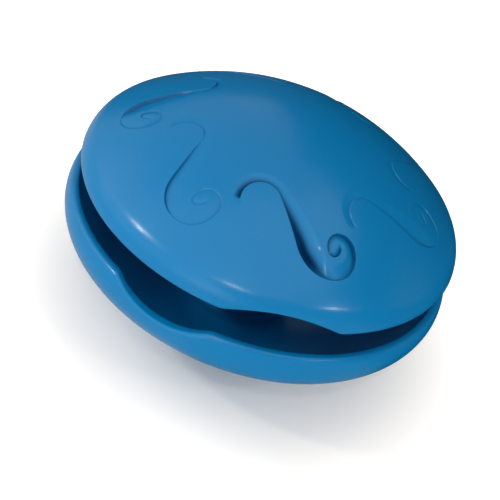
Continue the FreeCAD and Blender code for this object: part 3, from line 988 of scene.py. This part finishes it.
@dataclass(frozen=True)
class Lamp:
    """A round soft lamp that faces the dispenser. A matt one gives light but no glint."""

    name: str
    azimuth: float
    elevation: float
    width: float
    share: float
    matt: bool = False
    distance: float = 700.0

    def hang(self, target: Vector) -> None:
        """Place the lamp. A share of 1 lights a facing surface to its written colour.

        The power is the share times pi squared times the distance squared.

        Args:
            target: the point that the lamp faces.
        """
        lamp = bpy.data.lights.new(self.name, "AREA")
        lamp.shape = "DISK"
        lamp.size = self.width * MM
        lamp.energy = self.share * math.pi ** 2 * (self.distance * MM) ** 2
        holder = link_object(self.name, lamp)
        azimuth, elevation = math.radians(self.azimuth), math.radians(self.elevation)
        way = Vector((math.cos(azimuth) * math.cos(elevation),
                      math.sin(azimuth) * math.cos(elevation), math.sin(elevation)))
        holder.location = target + way * self.distance * MM
        holder.rotation_euler = way.to_track_quat("Z", "Y").to_euler()
        holder.visible_glossy = not self.matt


@dataclass(frozen=True)
class Side:
    """One side of the glowing ring round the dispenser: where it starts, its height and greys."""

    azimuth: float
    elevation: float
    low: str
    high: str


@dataclass(frozen=True)
class Surround:
    """A ring of glowing greys that only reflections see: a painted reflection that lights nothing.

    It lies on the floor round the dispenser and stands up at its outer edge. A lower
    band reaches to each side's elevation and an upper band from there to nearly
    overhead. Each side runs from its azimuth to the next one's, and neighbours blend
    over a few degrees, so that no reflection shows a seam.
    """

    # Glow of each side in reflections: the near black sides paint the shell's reflection dark
    sides: tuple = (
        Side(-25.0, 55.0, "#080808", "#F9F9F9"),
        Side(60.0, 55.0, "#080808", "#B4B4B4"),
        Side(92.0, 20.0, "#303030", "#B4B4B4"),
        Side(136.0, 3.0, "#B4B4B4", "#B4B4B4"),
        Side(176.0, 3.0, "#B4B4B4", "#F9F9F9"),
        Side(262.0, 55.0, "#7C7C7C", "#F9F9F9"),
    )
    blend: float = 14.0
    overhead: float = 78.0
    inner: float = 20.0
    outer: float = 900.0
    lift: float = 0.5
    columns: int = 360

    def around(self, values: list[float], azimuth: Array) -> Array:
        """A value of the sides at each direction, blended evenly where sides meet."""
        starts = np.array([side.azimuth for side in self.sides])
        stations = np.concatenate([starts - self.blend / 2, starts + self.blend / 2])
        return np.interp(azimuth, stations, np.concatenate([np.roll(values, 1), values]),
                         period=360.0)

    def hang(self, target: Vector) -> None:
        """Carry the ring's section about the axis and give it its glowing greys.

        Args:
            target: the point from which the elevations are counted.
        """
        azimuth = np.arange(self.columns) * (360.0 / self.columns)
        edge = self.around([side.elevation for side in self.sides], azimuth)
        low, high = (self.around([linear(getattr(side, band))[0] for side in self.sides], azimuth)
                     for band in ("low", "high"))
        level = target.z / MM + self.outer * np.tan(np.radians(edge))
        roof = target.z / MM + self.outer * math.tan(math.radians(self.overhead))
        floor, top = np.full_like(edge, self.lift), np.full_like(edge, roof)
        distance = np.array([self.inner, self.outer, self.outer, self.outer, self.outer])
        height = np.stack([floor, floor, level, level, top])
        points = turned(distance[:, None], height, np.radians(azimuth))
        reflection_ring = make_mesh("surround", points, lathe_faces(len(distance), self.columns))
        tones = np.stack([low, low, low, high, high]).astype(np.float32).ravel()
        reflection_ring.data.attributes.new(TONE, "FLOAT", "POINT").data.foreach_set("value", tones)
        # Painted reflection: the ring glows by its greys and is seen only in reflections
        material = bpy.data.materials.new("reflection_only_glow")
        tree = bare_tree(material)
        tone = add_node(tree, "ShaderNodeAttribute", attribute_name=TONE)
        shine = add_node(tree, "ShaderNodeEmission", {
            "Color": WHITE, "Strength": tone.outputs["Fac"]})
        add_node(tree, "ShaderNodeOutputMaterial", {"Surface": shine.outputs["Emission"]})
        reflection_ring.data.materials.append(material)
        reflection_ring.visible_camera = False
        reflection_ring.visible_diffuse = False
        reflection_ring.visible_shadow = False


@dataclass(frozen=True)
class Studio:
    """The plain pale floor, the soft light about it and the camera.

    Attributes:
        fill, backdrop: strength of the world's light, and of the white it shows.
        floor_glow, painted_shadow_reach, painted_shadow_fall: the seen floor's own glow, and the
        painted contact
        shadow that dims it near the toy: how far it reaches, and how steeply.
        floor_side: in metres.
    """

    fill: float = 0.36
    backdrop: float = 0.95
    floor_colour: str = "#FFF7EE"
    floor_glow: float = 0.66
    painted_shadow_reach: float = 28.0
    painted_shadow_fall: float = 2.0
    floor_side: float = 4.0
    distance: float = 200.25
    elevation: float = 33.602
    roll: float = 21.979
    focal_pixels: float = 868.29
    centre_pixel: tuple = (274.42, 191.14)
    sensor: float = 36.0
    lamps: tuple = (
        Lamp("left_key", 168.0, 26.0, 320.0, 0.32, matt=True),
        Lamp("front_key", -100.0, 14.0, 320.0, 0.32, matt=True),
        Lamp("low_fill", -50.0, 5.0, 320.0, 0.10, matt=True),
        Lamp("right_fill", 15.0, 20.0, 320.0, 0.14, matt=True),
        Lamp("left_glint", -156.0, 36.0, 45.0, 0.14),
        Lamp("front_glint", -91.4, 50.0, 35.0, 0.06),
        Lamp("right_glint", -28.0, 43.0, 35.0, 0.055),
    )
    surround: Surround = Surround()

    def seen_directly(self, tree: bpy.types.NodeTree) -> bpy.types.NodeSocket:
        """A value of 1 for camera, mirrored and refracted rays, and 0 for the others."""
        path = add_node(tree, "ShaderNodeLightPath")
        seen = path.outputs["Is Camera Ray"]
        for ray in ("Is Glossy Ray", "Is Transmission Ray"):
            seen = add_node(tree, "ShaderNodeMath", {0: seen, 1: path.outputs[ray]},
                            operation="MAXIMUM").outputs[0]
        return seen

    def light_world(self) -> None:
        """Fill the room with soft white light and show it as a white backdrop."""
        world = bpy.data.worlds.new("studio")
        tree = bare_tree(world)
        strength = add_node(tree, "ShaderNodeMapRange", {
            "Value": self.seen_directly(tree), "To Min": self.fill, "To Max": self.backdrop})
        light = add_node(tree, "ShaderNodeBackground", {
            "Color": WHITE, "Strength": strength.outputs["Result"]})
        add_node(tree, "ShaderNodeOutputWorld", {"Surface": light.outputs["Background"]})
        bpy.context.scene.world = world

    def lay_floor(self) -> None:
        """Lay the floor: matt white board that takes the toy's shadow, whose glow fades near the
        toy by occlusion as a painted contact shadow.
        """
        half = self.floor_side / 2
        corners = np.array([[-half, -half, 0], [half, -half, 0], [half, half, 0], [-half, half, 0]])
        floor = make_mesh("floor", corners / MM, np.array([[0, 1, 2, 3]]))
        material = bpy.data.materials.new("matt_white_board")
        tree = bare_tree(material)
        board = add_node(tree, "ShaderNodeBsdfDiffuse", {"Color": linear(self.floor_colour)})
        # Painted contact shadow: occlusion near the toy dims the floor's glow
        painted_shade_occlusion = add_node(tree, "ShaderNodeAmbientOcclusion", {
            "Distance": self.painted_shadow_reach * MM}, samples=2)
        clear = add_node(tree, "ShaderNodeMath", {
            0: painted_shade_occlusion.outputs["AO"], 1: self.painted_shadow_fall}, operation="POWER")
        glow = self.seen_directly(tree)
        for factor in (self.floor_glow, clear.outputs[0]):
            glow = add_node(tree, "ShaderNodeMath", {0: glow, 1: factor},
                            operation="MULTIPLY").outputs[0]
        shine = add_node(tree, "ShaderNodeEmission", {"Color": WHITE, "Strength": glow})
        both = add_node(tree, "ShaderNodeAddShader", {
            0: board.outputs["BSDF"], 1: shine.outputs["Emission"]})
        add_node(tree, "ShaderNodeOutputMaterial", {"Surface": both.outputs["Shader"]})
        floor.data.materials.append(material)

    def aim_camera(self, rim_level: float) -> None:
        """Set the camera from the view that was fitted to the photograph.

        It looks down at the elevation, is rolled about its view, and its shift puts
        the view's middle at the fitted pixel of a square image.

        Args:
            rim_level: height of the upper rim, from which the distance is counted.
        """
        camera = bpy.data.cameras.new("camera")
        camera.sensor_width = self.sensor
        camera.lens = self.focal_pixels * self.sensor / IMAGE_SIDE
        camera.shift_x = 0.5 - self.centre_pixel[0] / IMAGE_SIDE
        camera.shift_y = self.centre_pixel[1] / IMAGE_SIDE - 0.5
        camera.clip_start = 0.01
        tilt, roll = math.radians(self.elevation), math.radians(self.roll)
        back = Vector((0.0, -math.cos(tilt), math.sin(tilt)))
        level_right = Vector((1.0, 0.0, 0.0))
        level_up = Vector((0.0, math.sin(tilt), math.cos(tilt)))
        right = level_right * math.cos(roll) + level_up * math.sin(roll)
        up = level_up * math.cos(roll) - level_right * math.sin(roll)
        holder = link_object("camera", camera)
        turn = Matrix((right, up, back)).transposed().to_4x4()
        spot = Vector((0.0, 0.0, rim_level * MM)) + back * self.distance * MM
        holder.matrix_world = Matrix.Translation(spot) @ turn
        bpy.context.scene.camera = holder

    def set_up(self, rim_level: float) -> None:
        """Make the world, the floor, the lamps and the camera."""
        bpy.context.scene.view_settings.view_transform = "Standard"
        self.light_world()
        self.lay_floor()
        middle = Vector((0.0, 0.0, rim_level * MM))
        for lamp in self.lamps:
            lamp.hang(middle)
        self.surround.hang(middle)
        self.aim_camera(rim_level)


def main() -> None:
    """Build and dress the two halves, the screw and the studio."""
    logging.basicConfig(level=logging.INFO, format="%(name)s: %(message)s")
    shell = SHELL_PLASTIC.material()
    upper = UpperHalf()
    place(upper.build(), Body.UPPER, Slot.SHELL, shell, "upper_shell")
    place(LowerHalf().build(), Body.LOWER, Slot.SHELL, shell, "lower_shell")
    Screw().dress(SCREW_NYLON.material(), GRIP_RUBBER.material())
    Studio().set_up(upper.rim)


if __name__ == "__main__":
    main()
